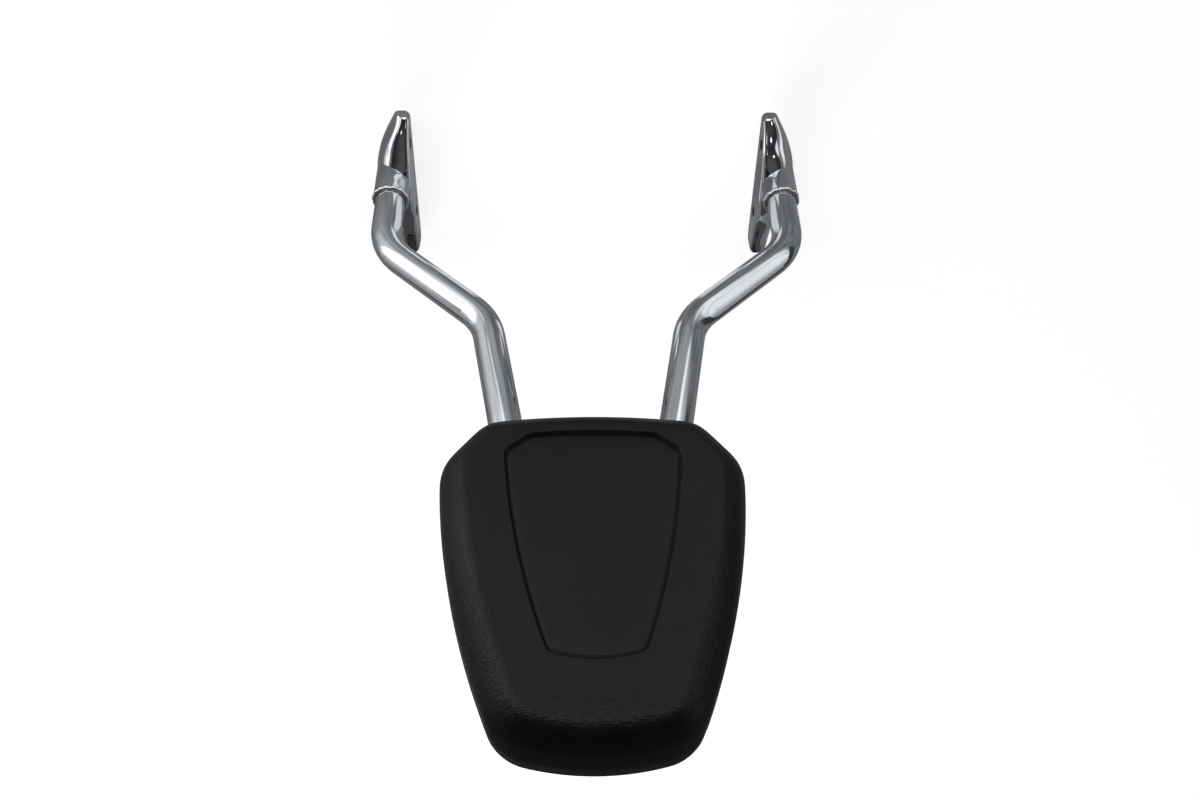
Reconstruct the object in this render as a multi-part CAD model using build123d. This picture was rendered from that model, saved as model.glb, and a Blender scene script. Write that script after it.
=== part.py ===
from build123d import *
import math
import os

# Sissy bar for a cruiser: a bent tube hoop on two cast feet, with a moulded backrest pad.
# Row frame: +Z up, the pad faces -Y, X across, the origin at the middle of the footprint.
# The tube and the pad lie in one leaning plane: x across, h up the plane, g forwards out of it.

# Hoop tube
TUBE_D = 22.2
TUBE_WALL = 2.0
LEAN = 10.0                 # backward lean of the tube plane from upright, degrees
FOOT_SPACING = 297.0        # between the axes of the two stubs
FOOT_BEND_H = 100.2         # corner of the lower bend
NECK_SPACING = 142.6        # between the legs at the upper bend
NECK_BEND_H = 172.4         # corner of the upper bend
LEG_TAPER = 9.9             # lean of each leg towards the middle, degrees
BEND_R = 45.0               # centre-line radius of the four leg bends
HOOP_DROP = 70.5            # from the pad's upper end down to the top of the hoop's centre line

# Cast feet
FOOT_FACE_GAP = 3.0         # from the tube to the flat inner face
FOOT_NOSE = 49.0            # from the stub axis forwards to the nose
FOOT_TAIL = 69.5            # from the stub axis back to the tail
NOSE_W = 10.6
NOSE_TALL = 9.5
FOOT_W = 28.4               # widest, beside the stub
FOOT_TALL = 34.0
TAIL_W = 15.0
TAIL_TALL = 16.0
FLANK_TALL = 4.0            # upright strip along the foot's outer edge
CREST_SHARE = 0.25          # how far out the crest lies, as a share of the width there
NOSE_CORNER_R = 4.5         # roundings of the nose in plan
NOSE_TOP_R = 6.0            # and from the side
TAIL_CORNER_R = 5.5
TAIL_HEEL_R = 12.0          # rounding under the tail
BOSS_WALL = 1.9             # round the tube
BOSS_H = 47.5               # top of the boss, along the stub
SOCKET_DEPTH = 20.0
SOCKET_CLEAR = 0.1
WELD_R = 2.0                # section radius of the bead round the stub
WELD_SINK = 1.3             # how far the bead's section reaches into the corner that it fills
HOLE_D = 8.5                # tapping size of the two threads in each foot
HOLE_DEPTH = 11.0
HOLE_SPACING = 60.0
HOLE_BACK = 2.0             # middle of the two holes, behind the stub axis
HOLE_Z = 12.5

# Pad outline, at the seam between cushion and cover
PAD_LOW_H = 276.7           # lower end, on the middle line
PAD_TALL = 218.3            # from end to end, on the middle line
PAD_W = 186.6               # across the shoulders
PAD_WAIST_W = 165.4         # across the sides, half way up
PAD_TOP_W = 109.8           # across the upper corners, before rounding
PAD_TOP_CROWN = 9.8         # rise of the upper end
PAD_LOW_W = 136.0           # across the lower end, between its chamfered corners
PAD_LOW_CROWN = 4.8         # rise of the lower end
PAD_CHAMFER_TALL = 32.5     # height of the chamfered lower corners
LOW_CORNER_R = 24.0
TOP_CORNER_R = 31.0

# Cushion
PAD_FRONT = 42.0            # front face, forwards of the tube axis
FLANK_R = 32.0              # section radius of the rounded flank
FLANK_START = 30.0          # slope at which the flank leaves the front face, degrees
FLANK_STEPS = 5             # outlines that the flank's skin is stretched over, after the first
TOP_FLANK_SHARE = 0.45      # step in at the upper end, as a share of the step in along the sides
SOFT_GAP = 0.3              # between the cushion and what it is moulded round

# Recessed panel in the cushion's front
PANEL_DEPTH = 2.0
PANEL_SLOPE = 35.0          # lean of the recess wall, degrees
PANEL_RISE = 22.9           # from the pad's lower end up to the panel's
PANEL_TALL = 151.0
PANEL_W = 107.0
PANEL_WAIST_W = 90.0
PANEL_TOP_W = 54.0
PANEL_TOP_CROWN = 4.3
PANEL_LOW_W = 77.0
PANEL_LOW_CROWN = 1.8
PANEL_CHAMFER_TALL = 12.0
PANEL_LOW_R = 4.0
PANEL_TOP_R = 9.0

# Plates welded across the hoop
PLATE_T = 4.0
PLATE_TALL = 30.0
PLATE_LAP = 6.0             # how far a plate runs past each leg's axis
LOW_PLATE_RISE = 41.3       # from the pad's lower end up to the middle of the lower plate
TOP_PLATE_DROP = 1.3        # from the ends of the hoop's closing bend down to the upper plate
PLATE_WELD_R = 2.4

# Pad base, a moulded pan
BASE_INSET = 14.0           # from the pad outline in to the pan
BASE_WALL = 3.0
BASE_EDGE_R = 2.0
COLUMN_D = 15.0             # columns that hold the threaded inserts
COLUMN_END = 2.0            # closed end of a column past its insert
POST_D = 10.0               # posts for the cover screws

# Rear cover, a moulded shell
COVER_BACK_GAP = 2.4        # between the tube and the back of the cover
COVER_WALL = 2.5
COVER_EDGE_R = 9.0
COVER_INSET = 0.8
TUBE_CLEAR = 0.6            # round the tube, where it passes through the pad's lower end

# Screws, washers and inserts that clamp cover, plates and pan
SCREW_D = 6.0
SCREW_TIP_GAP = 0.7         # from the screw's tip to the end of its insert
SCREW_HEAD_D = 10.5
SCREW_HEAD_T = 3.3
SCREW_HEAD_R = 2.4
SCREW_KEY = 4.0             # across the flats of the socket
SCREW_KEY_DEEP = 2.0
SCREW_HOLE_D = 6.6
SCREW_LEG_GAP = 27.9        # from a leg's axis in to the lower screws
SEAT_DEEP = 9.0             # washer seat below the back of the cover
SEAT_BORE_D = 14.0
TOWER_D = 19.0
WASHER_D = 12.5
WASHER_T = 1.6
INSERT_D = 9.0
INSERT_LENGTH = 12.0
THREAD_GAP = 0.05

# Screws at the cover's corners
COVER_SCREW_D = 4.0
COVER_SCREW_LENGTH = 22.0
COVER_HEAD_D = 7.6
COVER_HEAD_T = 2.6
COVER_HEAD_R = 1.6
COVER_SLOT = 1.2            # width of the cross recess
COVER_SLOT_LONG = 4.4
COVER_SLOT_DEEP = 1.4
COVER_SEAT_DEEP = 6.0
COVER_BORE_D = 9.0
COVER_TOWER_D = 13.0
COVER_HOLE_D = 4.6
LOW_COVER_SCREW_RISE = 8.0   # from the pad's shoulders, above its chamfered corners
TOP_COVER_SCREW_DROP = 31.3  # from the pad's upper end
TOP_COVER_SCREW_IN = 18.6    # from the pad's upper corners towards the middle

# Sizes that follow
TUBE_R = TUBE_D / 2
TAPER = math.radians(LEG_TAPER)
STUB_X = FOOT_SPACING / 2
STUB_Y = BOSS_H * math.sin(math.radians(LEAN))
FACE_X = STUB_X - TUBE_R - FOOT_FACE_GAP
BOSS_R = TUBE_R + BOSS_WALL
PAD_TOP_H = PAD_LOW_H + PAD_TALL
PANEL_LOW_H = PAD_LOW_H + PANEL_RISE
PANEL_TOP_H = PANEL_LOW_H + PANEL_TALL
HOOP_TOP_H = PAD_TOP_H - HOOP_DROP
PAD_SIDE_TALL = PAD_TALL - PAD_LOW_CROWN - PAD_CHAMFER_TALL - PAD_TOP_CROWN
PAD_TAPER = (PAD_W - PAD_TOP_W) / 2 / PAD_SIDE_TALL
PAD_TOP_TAPER = (PAD_WAIST_W - PAD_TOP_W) / PAD_SIDE_TALL
LEGS_MEET_H = NECK_BEND_H + NECK_SPACING / 2 / math.tan(TAPER)
CROWN_R = (LEGS_MEET_H - HOOP_TOP_H) / (1 / math.sin(TAPER) - 1)
CROWN_END_H = HOOP_TOP_H - CROWN_R * (1 - math.sin(TAPER))
LOW_PLATE_H = PAD_LOW_H + LOW_PLATE_RISE
TOP_PLATE_H = CROWN_END_H - TOP_PLATE_DROP - PLATE_TALL / 2
PLATE_BACK = TUBE_R
PLATE_FRONT = PLATE_BACK + PLATE_T
BASE_FRONT = PLATE_FRONT + BASE_WALL
COLUMN_FRONT = PLATE_FRONT + INSERT_LENGTH + COLUMN_END
COVER_DEEP = TUBE_R + COVER_BACK_GAP + COVER_WALL
SEAT_G = SEAT_DEEP - COVER_DEEP
COVER_SEAT_G = COVER_SEAT_DEEP - COVER_DEEP
FLANK_ROOT = PAD_FRONT - FLANK_R * math.cos(math.radians(FLANK_START))
PAST = 1.0                  # how far a cutter runs past the face that it opens

TUBE_PLANE = Plane(
    origin=(0, 0, 0),
    x_dir=(1, 0, 0),
    z_dir=(0, -math.cos(math.radians(LEAN)), math.sin(math.radians(LEAN))),
)


def leg_x(h):
    """Distance of a leg's axis from the middle line, above the neck."""
    return (LEGS_MEET_H - h) * math.tan(TAPER)


def pad_screw_places():
    """Two screws in the lower plate, inside the legs, and one in the upper plate."""
    low_x = leg_x(LOW_PLATE_H) - SCREW_LEG_GAP
    return [(-low_x, LOW_PLATE_H), (low_x, LOW_PLATE_H), (0, TOP_PLATE_H)]


def cover_screw_places():
    """Two screws midway between the legs and the pan's sides, and two in the upper corners."""
    low_h = PAD_LOW_H + PAD_LOW_CROWN + PAD_CHAMFER_TALL + LOW_COVER_SCREW_RISE
    top_h = PAD_TOP_H - TOP_COVER_SCREW_DROP
    low_x = (leg_x(low_h) + TUBE_R + PAD_W / 2 - BASE_INSET) / 2
    top_x = PAD_TOP_W / 2 - TOP_COVER_SCREW_IN
    return [(-low_x, low_h), (low_x, low_h), (-top_x, top_h), (top_x, top_h)]


PAD_SCREWS = pad_screw_places()
COVER_SCREWS = cover_screw_places()


def disc(place, diameter, low_g, high_g):
    """Round bar along g, at a place in the tube plane."""
    x, h = place
    bar = Cylinder(diameter / 2, high_g - low_g, align=(Align.CENTER, Align.CENTER, Align.MIN))
    return Pos(x, h, low_g) * bar


def discs(places, diameter, low_g, high_g):
    """The same round bar at several places."""
    return [disc(place, diameter, low_g, high_g) for place in places]


def slab(face, low_g, high_g):
    """Flat face in the tube plane, extruded from one level to another."""
    return extrude(Pos(0, 0, low_g) * face, amount=high_g - low_g)


def stub_bar(radius, low_h, high_h):
    """Round bar on the left stub's axis, in the tube plane."""
    bar = Cylinder(radius, high_h - low_h, align=(Align.CENTER, Align.CENTER, Align.MIN))
    return Pos(STUB_X, low_h, 0) * Rot(-90, 0, 0) * bar


# Hoop tube
def hoop_path():
    """Centre line: two legs with two bends each, closed by one bend between them."""
    end_x = leg_x(CROWN_END_H)
    leg = FilletPolyline(
        (STUB_X, BOSS_H - SOCKET_DEPTH),
        (STUB_X, FOOT_BEND_H),
        (NECK_SPACING / 2, NECK_BEND_H),
        (end_x, CROWN_END_H),
        radius=BEND_R,
    )
    crown = ThreePointArc((end_x, CROWN_END_H), (0, HOOP_TOP_H), (-end_x, CROWN_END_H))
    return Wire(leg.edges() + crown.edges() + mirror(leg, about=Plane.YZ).edges())


def rod_along(path, radius):
    start = Plane(origin=path @ 0, z_dir=path % 0)
    return sweep(start * Circle(radius), path=path)


HOOP = hoop_path()
TUBE_ROD = rod_along(HOOP, TUBE_R)
TUBE_ROOM = rod_along(HOOP, TUBE_R + TUBE_CLEAR)


# Cast feet
def foot_section(y, wide, tall):
    """Half-teardrop section: rounded crest, curved outer side, and spare metal on the inner side."""
    crest = wide * CREST_SHARE
    outline = [
        Line((-PAST, 0), (wide, 0)),
        Line((wide, 0), (wide, FLANK_TALL)),
        EllipticalCenterArc((crest, FLANK_TALL), wide - crest, tall - FLANK_TALL, 0, arc_size=90),
        CenterArc((crest, tall - crest), crest, 90, 90),
        Polyline((0, tall - crest), (-PAST, tall - crest), (-PAST, 0)),
    ]
    place = Plane(origin=(FACE_X, y, 0), x_dir=(1, 0, 0), z_dir=(0, -1, 0))
    return place * make_face(outline)


def round_waste(corner, along_end, along_side, radius):
    """What a rounding takes off the corner between two straight edges, drawn a little past both."""
    corner = Vector(*corner)
    along_end, along_side = Vector(*along_end).normalized(), Vector(*along_side).normalized()
    half = math.radians(along_end.get_angle(along_side)) / 2
    reach = radius / math.tan(half)
    inwards = (along_end + along_side).normalized()
    off_end = (along_end * along_end.dot(along_side) - along_side).normalized() * PAST
    off_side = (along_side * along_end.dot(along_side) - along_end).normalized() * PAST
    start, end = corner + along_end * reach, corner + along_side * reach
    outline = Polyline(start, start + off_end, corner - inwards * PAST * 2, end + off_side, end, close=True)
    centre = corner + inwards * (radius / math.sin(half))
    return make_face(outline) - Pos(centre.X, centre.Y) * Circle(radius)


def foot_body():
    """Skin over sections that swell from the nose to the stub and fall away to the tail.
    Its inner side is then faced off flat, where it bears on the rail."""
    sections = []
    for share in (0, 0.25, 0.6):
        swell = math.sin(share * math.pi / 2)
        wide = NOSE_W + (FOOT_W - NOSE_W) * swell
        tall = NOSE_TALL + (FOOT_TALL - NOSE_TALL) * swell
        sections.append(foot_section(STUB_Y - FOOT_NOSE * (1 - share), wide, tall))
    for share in (0, 0.35, 0.7, 1):
        swell = (1 + math.cos(share * math.pi)) / 2
        wide = TAIL_W + (FOOT_W - TAIL_W) * swell
        tall = TAIL_TALL + (FOOT_TALL - TAIL_TALL) * swell
        sections.append(foot_section(STUB_Y + FOOT_TAIL * share, wide, tall))
    length = FOOT_NOSE + FOOT_TAIL
    faced_off = Box(PAST * 2, length * 2, FOOT_TALL * 4, align=(Align.MAX, Align.CENTER, Align.CENTER))
    body = loft(sections) - Pos(FACE_X, STUB_Y, 0) * faced_off
    nose_y, tail_y = STUB_Y - FOOT_NOSE, STUB_Y + FOOT_TAIL
    growth = math.pi / 2 / FOOT_NOSE
    splay = (FOOT_W - NOSE_W) * growth
    climb = (FOOT_TALL - NOSE_TALL) * growth
    for waste in (
        round_waste((FACE_X, nose_y), (1, 0), (0, 1), NOSE_CORNER_R),
        round_waste((FACE_X + NOSE_W, nose_y), (-1, 0), (splay, 1), NOSE_CORNER_R),
        round_waste((FACE_X, tail_y), (1, 0), (0, -1), TAIL_CORNER_R),
        round_waste((FACE_X + TAIL_W, tail_y), (-1, 0), (0, -1), TAIL_CORNER_R),
    ):
        body -= extrude(waste, FOOT_TALL * 2, both=True)
    for waste in (
        round_waste((nose_y, NOSE_TALL), (0, -1), (1, climb), NOSE_TOP_R),
        round_waste((tail_y, 0), (0, 1), (-1, 0), TAIL_HEEL_R),
    ):
        body -= Pos(FACE_X, 0, 0) * extrude(Plane.YZ * waste, FOOT_W * 2, both=True)
    return body


def cast_foot():
    """Left foot, with the stub's socket and two blind threads in its inner face."""
    boss = TUBE_PLANE * stub_bar(BOSS_R, 0, BOSS_H)
    outside = Pos(FACE_X, STUB_Y, 0) * Box(
        FOOT_W * 2, BOSS_R * 8, BOSS_H * 2, align=(Align.MIN, Align.CENTER, Align.MIN)
    )
    foot = foot_body() + (boss & outside)
    foot -= TUBE_PLANE * stub_bar(TUBE_R + SOCKET_CLEAR, BOSS_H - SOCKET_DEPTH, BOSS_H + PAST)
    for side in (-1, 1):
        hole_y = STUB_Y + HOLE_BACK + side * HOLE_SPACING / 2
        foot -= Pos(FACE_X, hole_y, HOLE_Z) * Rot(0, 90, 0) * Cylinder(HOLE_D / 2, HOLE_DEPTH * 2)
    return foot


def stub_weld():
    """Bead in the corner between the left boss and its stub."""
    sink = WELD_R - WELD_SINK
    section = Pos(STUB_X + TUBE_R + sink, BOSS_H + sink) * Circle(WELD_R)
    corner = Pos(STUB_X + TUBE_R, BOSS_H) * Rectangle(
        WELD_R * 4, WELD_R * 4, align=(Align.MIN, Align.MIN)
    )
    return revolve(section & corner, axis=Axis((STUB_X, 0, 0), (0, 1, 0)))


# Outlines of the pad and its panel
def shield(low_h, top_h, low_w, wide, waist_w, top_w, low_crown, top_crown, chamfer, low_r, top_r):
    """Face with a crowned lower end, chamfered lower corners, bowed sides and a crowned upper end."""
    low_y = low_h + low_crown
    shoulder_y = low_y + chamfer
    top_y = top_h - top_crown
    waist_y = (shoulder_y + top_y) / 2
    face = make_face(
        [
            ThreePointArc((-low_w / 2, low_y), (0, low_h), (low_w / 2, low_y)),
            Line((low_w / 2, low_y), (wide / 2, shoulder_y)),
            ThreePointArc((wide / 2, shoulder_y), (waist_w / 2, waist_y), (top_w / 2, top_y)),
            ThreePointArc((top_w / 2, top_y), (0, top_h), (-top_w / 2, top_y)),
            ThreePointArc((-top_w / 2, top_y), (-waist_w / 2, waist_y), (-wide / 2, shoulder_y)),
            Line((-wide / 2, shoulder_y), (-low_w / 2, low_y)),
        ]
    )
    face = fillet([corner for corner in face.vertices() if corner.Y > waist_y], top_r)
    return fillet([corner for corner in face.vertices() if corner.Y < waist_y], low_r)


def moved_in(face, inset):
    """The same outline moved inwards: every line keeps its direction and every arc its centre."""
    centre = face.center()
    edges = []
    for edge in face.face().outer_wire().edges():
        points = []
        for share in (0, 0.5, 1):
            point = edge @ share
            inward = Vector(0, 0, 1).cross(edge % share)
            if inward.dot(centre - point) < 0:
                inward = -inward
            points.append(point + inward * inset)
        straight = edge.geom_type == GeomType.LINE
        edges.append(Line(points[0], points[2]) if straight else ThreePointArc(*points))
    return make_face(edges)


def pad_outline(inset=0, lift=0):
    """Outline moved in, after its sides are run on so that its upper end lies higher by the lift."""
    waist_w = PAD_WAIST_W - lift * PAD_TAPER
    top_w = PAD_TOP_W - 2 * lift * PAD_TOP_TAPER
    face = shield(
        PAD_LOW_H, PAD_TOP_H + lift, PAD_LOW_W, PAD_W, waist_w, top_w,
        PAD_LOW_CROWN, PAD_TOP_CROWN, PAD_CHAMFER_TALL, LOW_CORNER_R, TOP_CORNER_R,
    )
    return moved_in(face, inset)


def panel_outline(inset=0):
    face = shield(
        PANEL_LOW_H, PANEL_TOP_H, PANEL_LOW_W, PANEL_W, PANEL_WAIST_W, PANEL_TOP_W,
        PANEL_LOW_CROWN, PANEL_TOP_CROWN, PANEL_CHAMFER_TALL, PANEL_LOW_R, PANEL_TOP_R,
    )
    return moved_in(face, inset)


# Cushion
def flank():
    """Skin over outlines that step in along the flank's arc, up to the front face.
    They step in less at the upper end, where the flank is steeper."""
    sections = []
    for step in range(FLANK_STEPS + 1):
        slope = math.radians(90 + (FLANK_START - 90) * step / FLANK_STEPS)
        level = FLANK_ROOT + FLANK_R * math.cos(slope)
        inset = FLANK_R * (1 - math.sin(slope))
        sections.append(Pos(0, 0, level) * pad_outline(inset, inset * (1 - TOP_FLANK_SHARE)))
    return loft(sections)


def panel_room():
    """What the recessed panel takes off the front: its walls lean out towards the face."""
    lean = math.tan(math.radians(PANEL_SLOPE))
    floor = Pos(0, 0, PAD_FRONT - PANEL_DEPTH) * panel_outline(PANEL_DEPTH * lean)
    mouth = Pos(0, 0, PAD_FRONT + PAST) * panel_outline(-PAST * lean)
    return loft([floor, mouth], ruled=True)


def cushion():
    """Foam body, hollowed for the pan and its columns, with the mouths that the legs enter by."""
    body = slab(pad_outline(), SOFT_GAP, FLANK_ROOT) + flank()
    body -= panel_room()
    body -= slab(pad_outline(BASE_INSET - SOFT_GAP), 0, BASE_FRONT + SOFT_GAP)
    for column in discs(PAD_SCREWS, COLUMN_D + 2 * SOFT_GAP, BASE_FRONT, COLUMN_FRONT + SOFT_GAP):
        body -= column
    return body - TUBE_ROOM


# Plates across the hoop
def cross_plate(middle_h, holes):
    """Plate whose ends run along the legs."""
    low, high = middle_h - PLATE_TALL / 2, middle_h + PLATE_TALL / 2
    low_x, high_x = leg_x(low) + PLATE_LAP, leg_x(high) + PLATE_LAP
    face = make_face(
        Polyline((-low_x, low), (low_x, low), (high_x, high), (-high_x, high), close=True)
    )
    plate = slab(face, PLATE_BACK, PLATE_FRONT)
    for hole in discs(holes, SCREW_HOLE_D, PLATE_BACK - PAST, PLATE_FRONT + PAST):
        plate -= hole
    return plate


def plate_bead(plate, middle_h, side):
    """Bead between one end of a plate and the leg below it."""
    turn = Rot(0, 0, side * LEG_TAPER) * Rot(90, 0, 0)
    x = leg_x(middle_h)
    leg = Pos(side * x, middle_h, 0) * turn * Cylinder(TUBE_R, PLATE_TALL)
    bead = Pos(side * (x + PLATE_LAP), middle_h, PLATE_BACK) * turn
    bead *= Cylinder(PLATE_WELD_R, PLATE_TALL - 2 * PLATE_WELD_R)
    return bead - plate - leg


# Pad base
def base_pan():
    shell = slab(pad_outline(BASE_INSET), 0, BASE_FRONT)
    shell = fillet(shell.faces().sort_by(Axis.Z)[-1].edges(), BASE_EDGE_R)
    shell -= slab(pad_outline(BASE_INSET + BASE_WALL), -PAST, PLATE_FRONT)
    for column in discs(PAD_SCREWS, COLUMN_D, PLATE_FRONT, COLUMN_FRONT):
        shell += column
    for pocket in discs(PAD_SCREWS, INSERT_D, PLATE_FRONT - PAST, PLATE_FRONT + INSERT_LENGTH):
        shell -= pocket
    for post in discs(COVER_SCREWS, POST_D, 0, BASE_FRONT - BASE_EDGE_R):
        shell += post
    pilot_front = COVER_SEAT_G + COVER_SCREW_LENGTH + THREAD_GAP
    for pilot in discs(COVER_SCREWS, COVER_SCREW_D + 2 * THREAD_GAP, -PAST, pilot_front):
        shell -= pilot
    return shell - TUBE_ROOM


# Rear cover
def back_shell():
    shell = slab(pad_outline(COVER_INSET), -COVER_DEEP, 0)
    shell = fillet(shell.faces().sort_by(Axis.Z)[0].edges(), COVER_EDGE_R)
    room = slab(pad_outline(COVER_INSET + COVER_WALL), COVER_WALL - COVER_DEEP, PAST)
    shell -= fillet(room.faces().sort_by(Axis.Z)[0].edges(), COVER_EDGE_R - COVER_WALL)
    inside = COVER_WALL / 2 - COVER_DEEP
    for tower in discs(PAD_SCREWS, TOWER_D, inside, PLATE_BACK):
        shell += tower
    for tower in discs(COVER_SCREWS, COVER_TOWER_D, inside, 0):
        shell += tower
    for bore in discs(PAD_SCREWS, SEAT_BORE_D, -COVER_DEEP - PAST, SEAT_G):
        shell -= bore
    for hole in discs(PAD_SCREWS, SCREW_HOLE_D, -COVER_DEEP, PLATE_BACK + PAST):
        shell -= hole
    for bore in discs(COVER_SCREWS, COVER_BORE_D, -COVER_DEEP - PAST, COVER_SEAT_G):
        shell -= bore
    for hole in discs(COVER_SCREWS, COVER_HOLE_D, -COVER_DEEP, PAST):
        shell -= hole
    return shell - TUBE_ROOM


# Fasteners
def pad_screw(place):
    """Button-head screw with a hexagon socket, its head on the washer."""
    seat = SEAT_G - WASHER_T
    head = disc(place, SCREW_HEAD_D, seat - SCREW_HEAD_T, seat)
    head = fillet(head.edges().sort_by(Axis.Z)[0], SCREW_HEAD_R)
    key = Pos(*place) * RegularPolygon(SCREW_KEY / 2, 6, major_radius=False)
    head -= slab(key, seat - SCREW_HEAD_T - PAST, seat - SCREW_HEAD_T + SCREW_KEY_DEEP)
    return head + disc(place, SCREW_D, seat, PLATE_FRONT + INSERT_LENGTH - SCREW_TIP_GAP)


def washer(place):
    ring = disc(place, WASHER_D, SEAT_G - WASHER_T, SEAT_G)
    return ring - disc(place, SCREW_HOLE_D, SEAT_G - WASHER_T - PAST, SEAT_G + PAST)


def insert(place):
    sleeve = disc(place, INSERT_D - 2 * THREAD_GAP, PLATE_FRONT, PLATE_FRONT + INSERT_LENGTH)
    bore = disc(place, SCREW_D + 2 * THREAD_GAP, PLATE_FRONT - PAST, PLATE_FRONT + INSERT_LENGTH + PAST)
    return sleeve - bore


def cover_screw(place):
    """Pan-head screw with a cross recess."""
    seat = COVER_SEAT_G
    head = disc(place, COVER_HEAD_D, seat - COVER_HEAD_T, seat)
    head = fillet(head.edges().sort_by(Axis.Z)[0], COVER_HEAD_R)
    for turn in (0, 90):
        slot = Pos(*place) * Rot(0, 0, turn) * Rectangle(COVER_SLOT_LONG, COVER_SLOT)
        head -= slab(slot, seat - COVER_HEAD_T - PAST, seat - COVER_HEAD_T + COVER_SLOT_DEEP)
    return head + disc(place, COVER_SCREW_D, seat, seat + COVER_SCREW_LENGTH)


def pieces():
    """Every node, in the row frame before its origin is set."""
    low_plate = cross_plate(LOW_PLATE_H, PAD_SCREWS[:2])
    top_plate = cross_plate(TOP_PLATE_H, PAD_SCREWS[2:])
    beads = [
        plate_bead(plate, middle_h, side)
        for plate, middle_h in ((low_plate, LOW_PLATE_H), (top_plate, TOP_PLATE_H))
        for side in (-1, 1)
    ]
    in_plane = {
        "hoop_tube": TUBE_ROD - rod_along(HOOP, TUBE_R - TUBE_WALL),
        "left_bracket_weld": stub_weld(),
        "right_bracket_weld": mirror(stub_weld(), about=Plane.YZ),
        "lower_pad_plate": low_plate,
        "upper_pad_plate": top_plate,
        "plate_welds": Compound(beads),
        "pad_base": base_pan(),
        "threaded_inserts": Compound([insert(place) for place in PAD_SCREWS]),
        "pad_cushion": cushion(),
        "rear_cover": back_shell(),
        "pad_screws": Compound([pad_screw(place) for place in PAD_SCREWS]),
        "pad_washers": Compound([washer(place) for place in PAD_SCREWS]),
        "cover_screws": Compound([cover_screw(place) for place in COVER_SCREWS]),
    }
    made = {name: TUBE_PLANE.location * solid for name, solid in in_plane.items()}
    made["left_bracket"] = cast_foot()
    made["right_bracket"] = mirror(made["left_bracket"], about=Plane.YZ)
    return made


def main():
    made = pieces()
    boxes = [solid.bounding_box() for solid in made.values()]
    front = min(box.min.Y for box in boxes)
    back = max(box.max.Y for box in boxes)
    origin = Pos(0, -(front + back) / 2, 0)
    os.makedirs("parts", exist_ok=True)
    for name, solid in made.items():
        export_step(origin * solid, f"parts/{name}.step")
    print(f"stub axis at y = {STUB_Y - (front + back) / 2:.3f}, inner faces at x = {FACE_X:.3f}")


main()
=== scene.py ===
# %% [markdown]
# # A sissy bar with a moulded backrest pad
#
# A sissy bar is the backrest behind a motorbike's passenger: a chromed tube hoop on two cast feet, with a
# black foam pad. The metal and the plastic come from the CAD model at their real size, so this lesson only
# finishes them. The pad and the weld beads are modelled here, because foam skin and weld ripples are looks.

# %% Load the frame
import math

import bmesh
import bpy
from mathutils import Matrix, Vector, noise
from mathutils.geometry import intersect_line_line_2d


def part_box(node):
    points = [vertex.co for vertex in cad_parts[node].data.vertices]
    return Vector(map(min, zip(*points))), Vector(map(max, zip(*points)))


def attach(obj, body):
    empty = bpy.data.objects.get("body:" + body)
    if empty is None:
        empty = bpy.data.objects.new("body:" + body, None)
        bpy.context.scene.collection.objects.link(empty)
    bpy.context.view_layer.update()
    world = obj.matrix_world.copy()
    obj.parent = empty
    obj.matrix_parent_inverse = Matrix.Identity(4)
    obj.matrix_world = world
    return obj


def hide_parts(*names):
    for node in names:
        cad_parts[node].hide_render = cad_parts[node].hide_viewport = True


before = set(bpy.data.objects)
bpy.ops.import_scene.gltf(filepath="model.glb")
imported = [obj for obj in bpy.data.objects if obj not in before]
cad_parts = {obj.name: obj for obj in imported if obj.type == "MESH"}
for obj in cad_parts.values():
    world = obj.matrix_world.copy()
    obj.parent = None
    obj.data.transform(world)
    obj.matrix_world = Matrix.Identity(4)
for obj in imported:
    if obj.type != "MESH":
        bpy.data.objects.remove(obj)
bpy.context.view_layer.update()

MM = 0.001

# %% [markdown]
# ## The plane that the bar is bent in
#
# The tube and the pad lie in one plane that leans back a little. It is easier to model the pad flat and tip
# it over at the end, so one matrix takes pad coordinates (x across, h up the bar, g forwards out of it) to
# the frame. Its foot comes from the left foot's box, so the scene follows the CAD model.

# %% The leaning plane
LEAN = math.radians(10.0)
BOSS_H = 47.5 * MM
FOOT_NOSE = 49.0 * MM

stub_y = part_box("left_bracket")[0].y + FOOT_NOSE
root_y = stub_y - BOSS_H * math.sin(LEAN)
pad_plane = Matrix(
    (
        (1, 0, 0, 0),
        (0, math.sin(LEAN), -math.cos(LEAN), root_y),
        (0, math.cos(LEAN), math.sin(LEAN), 0),
        (0, 0, 0, 1),
    )
)
print("The plane starts at y =", round(root_y / MM, 2), "mm")

# %% [markdown]
# ## Camera
#
# The picture shows the bar upside down, from beyond the pad's upper end. The part itself stands upright, so
# the camera is rolled half a turn instead. A chain of simple moves reads better than one long rotation: go
# to the target, turn, tip, roll, then back away from it.

# %% Camera
CAMERA_YAW = math.radians(2.54)
CAMERA_TILT = math.radians(48.67)
CAMERA_ROLL = math.radians(178.02)
CAMERA_DISTANCE = 735.1 * MM
CAMERA_TARGET = Vector((-4.4 * MM, root_y, 287.1 * MM))
SENSOR_MM = 36.0
IMAGE_WIDTH = 1200
FOCAL_PIXELS = 1211.2

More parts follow.
